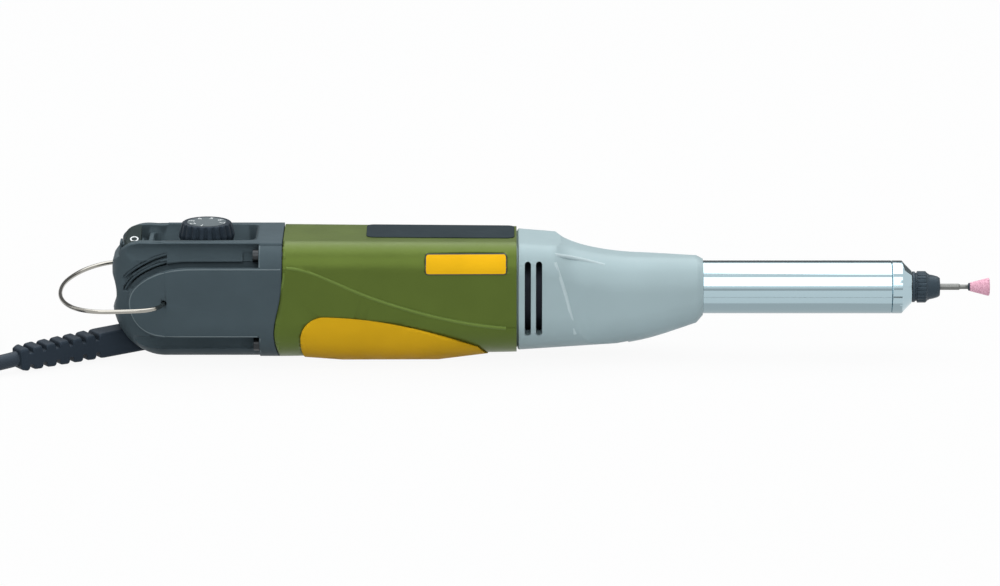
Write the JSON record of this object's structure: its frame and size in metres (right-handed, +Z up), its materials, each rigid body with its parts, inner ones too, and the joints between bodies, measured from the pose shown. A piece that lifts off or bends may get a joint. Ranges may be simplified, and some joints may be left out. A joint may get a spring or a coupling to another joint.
{
  "type": "corded straight grinder",
  "caption": "Slim corded straight grinder with speed dial, rocker switch, wire bail, steel neck, collet nut and a mounted stone.",
  "frame": {"origin": "on the surface that the tool lies on, midway along it and across it, without its cord", "axes": "+X along the spindle towards the stone, +Z up through the dial, -Y the side with the badge"},
  "size_m": [0.4729, 0.0942, 0.051],
  "materials": {
    "cover_plastic": "fine moulded texture, dark blue-grey",
    "housing_green": "satin moulded green",
    "nose_grey": "satin moulded light grey",
    "grip_yellow": "soft matt yellow",
    "plate_dark": "bare dark plate",
    "badge_yellow": "bare yellow plate",
    "neck_steel": "polished steel",
    "bright_steel": "turned steel",
    "screw_steel": "plated steel",
    "bail_steel": "bright wire",
    "black_oxide": "blackened steel",
    "knob_dark": "dark moulded",
    "scale_silver": "satin disc",
    "rubber_black": "moulded rubber",
    "cord_black": "smooth cord sheath",
    "pin_nickel": "nickel-plated",
    "copper": "bare copper",
    "laminated_iron": "stacked sheets",
    "magnet_dark": "sintered",
    "carbon": "pressed carbon",
    "board_green": "coated board",
    "inner_plastic": "filled plastic",
    "stone_pink": "fine bonded grit"
  },
  "bodies": {
    "housing": {"rear_cover": "cover_plastic", "rear_cover_screws": "screw_steel", "motor_housing": "housing_green", "grip_pad": "grip_yellow", "rating_plate": "plate_dark", "badge_plate": "badge_yellow", "nose_housing": "nose_grey", "nose_screws": "screw_steel", "neck_tube": "neck_steel", "neck_end_ring": "neck_steel", "neck_bearing": "bright_steel", "spindle_rear_bearing": "bright_steel", "motor_can": "bright_steel", "field_magnets": "magnet_dark", "rear_end_shield": "inner_plastic", "front_end_shield": "inner_plastic", "motor_rear_bearing": "bright_steel", "motor_front_bearing": "bright_steel", "brush_holders": "inner_plastic", "carbon_brushes": "carbon", "brush_springs": "bright_steel", "circuit_board": "board_green", "potentiometer": "inner_plastic", "switch_body": "inner_plastic", "cord_clamp": "inner_plastic", "cord_boot": "rubber_black", "cord_lead": "cord_black", "cord_coil": "cord_black", "plug_lead": "cord_black", "plug_body": "rubber_black", "plug_pins": "pin_nickel"},
    "rotor": {"motor_shaft": "bright_steel", "armature_core": "laminated_iron", "armature_windings": "copper", "commutator": "copper", "cooling_fan": "inner_plastic", "shaft_coupling": "bright_steel", "spindle": "bright_steel", "collet": "bright_steel"},
    "nut": {"collet_nut": "black_oxide"},
    "bit": {"bit_shank": "bright_steel", "mounted_stone": "stone_pink"},
    "dial": {"dial_knob": "knob_dark", "dial_scale": "scale_silver"},
    "rocker": {"switch_rocker": "knob_dark"},
    "bail": {"bail_wire": "bail_steel"}
  },
  "joints": [
    {"name": "spindle_spin", "type": "hinge", "parent": "housing", "child": "rotor", "pos_m": [0, 0, 0.0258], "axis": [1, 0, 0], "continuous": true},
    {"name": "collet_nut_off", "type": "slide", "parent": "rotor", "child": "nut", "axis": [1, 0, 0], "range_m": [0, 0.006]},
    {"name": "bit_out", "type": "slide", "parent": "rotor", "child": "bit", "axis": [1, 0, 0], "range_m": [0, 0.016]},
    {"name": "dial_turn", "type": "hinge", "parent": "housing", "child": "dial", "pos_m": [-0.11955, 0, 0.0469], "axis": [0, 0, 1], "range_deg": [-135, 135]},
    {"name": "switch_rock", "type": "hinge", "parent": "housing", "child": "rocker", "pos_m": [-0.147, 0, 0.0419], "axis": [1, 0, 0], "range_deg": [-22, 0]},
    {"name": "bail_swing", "type": "hinge", "parent": "housing", "child": "bail", "pos_m": [-0.13485, 0, 0.025], "axis": [0, 1, 0], "range_deg": [-15, 140]}
  ]
}
